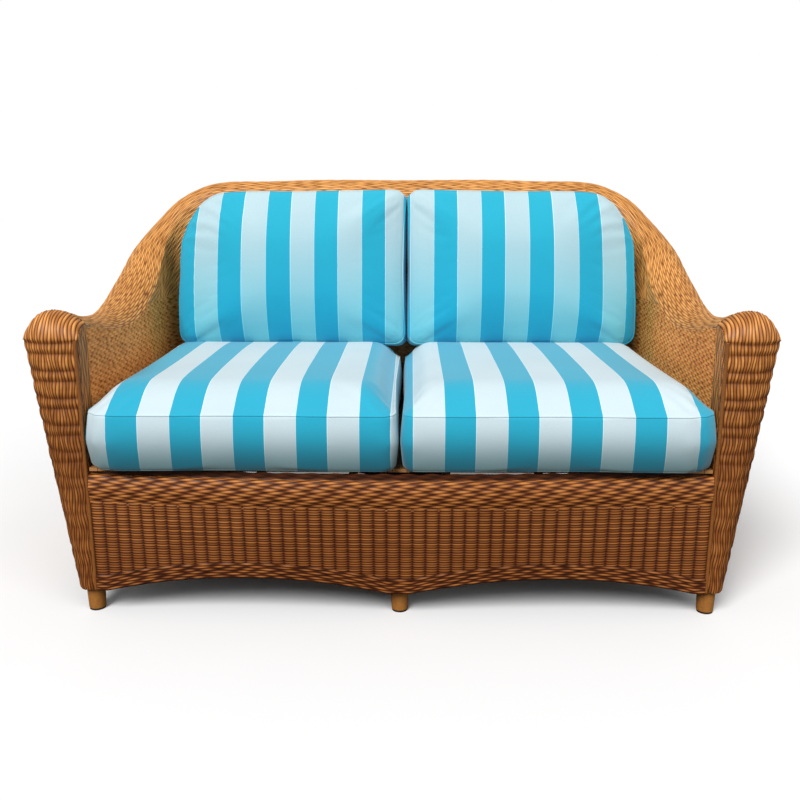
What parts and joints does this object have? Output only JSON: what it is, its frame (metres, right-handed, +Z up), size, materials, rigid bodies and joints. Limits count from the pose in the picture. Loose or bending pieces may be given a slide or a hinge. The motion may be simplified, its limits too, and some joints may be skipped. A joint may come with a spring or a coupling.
{
  "type": "sofa",
  "caption": "Two-seat woven rattan sofa with rolled arms, a curved back and loose striped cushions in blue and white",
  "frame": {"origin": "on the floor under the middle of the sofa's bounding box", "axes": "+X to the right as seen from the front, +Y to the rear, +Z up"},
  "size_m": [1.5, 0.9022, 0.9057],
  "materials": {
    "rattan_weave": "satin",
    "cane": "satin",
    "rattan_pole": "satin",
    "frame_wood": "satin",
    "striped_cloth": "matte",
    "foam": "matte",
    "glide": "matte"
  },
  "bodies": {
    "frame": {"front_left_leg": "frame_wood", "front_centre_leg": "frame_wood", "front_right_leg": "frame_wood", "rear_left_leg": "frame_wood", "rear_centre_leg": "frame_wood", "rear_right_leg": "frame_wood", "foot_wraps": "cane", "foot_glides": "glide", "left_side_rail": "frame_wood", "right_side_rail": "frame_wood", "front_seat_rail": "frame_wood", "rear_seat_rail": "frame_wood", "centre_seat_rail": "frame_wood", "top_hoop_pole": "rattan_pole", "left_arm_posts": "rattan_pole", "right_arm_posts": "rattan_pole", "back_uprights": "rattan_pole", "seat_rods": "rattan_pole", "left_arm_weave": "rattan_weave", "right_arm_weave": "rattan_weave", "back_weave": "rattan_weave", "left_arm_front": "rattan_weave", "right_arm_front": "rattan_weave", "front_skirt_panel": "rattan_weave", "front_skirt_border": "rattan_weave", "front_skirt_band": "rattan_weave", "seat_deck_weave": "rattan_weave", "left_edge_strip": "cane", "right_edge_strip": "cane"},
    "left_seat_cushion": {"left_seat_cover": "striped_cloth", "left_seat_foam": "foam"},
    "right_seat_cushion": {"right_seat_cover": "striped_cloth", "right_seat_foam": "foam"},
    "left_back_cushion": {"left_back_cover": "striped_cloth", "left_back_foam": "foam"},
    "right_back_cushion": {"right_back_cover": "striped_cloth", "right_back_foam": "foam"}
  },
  "joints": [
    {"name": "left_seat_lift_out", "type": "slide", "parent": "frame", "child": "left_seat_cushion", "axis": [0, -1, 0], "range_m": [0, 0.35]},
    {"name": "right_seat_lift_out", "type": "slide", "parent": "frame", "child": "right_seat_cushion", "axis": [0, -1, 0], "range_m": [0, 0.35]},
    {"name": "left_back_lift_out", "type": "slide", "parent": "frame", "child": "left_back_cushion", "axis": [0, 0.1814, 0.9834], "range_m": [0, 0.3]},
    {"name": "right_back_lift_out", "type": "slide", "parent": "frame", "child": "right_back_cushion", "axis": [0, 0.1814, 0.9834], "range_m": [0, 0.3]}
  ]
}
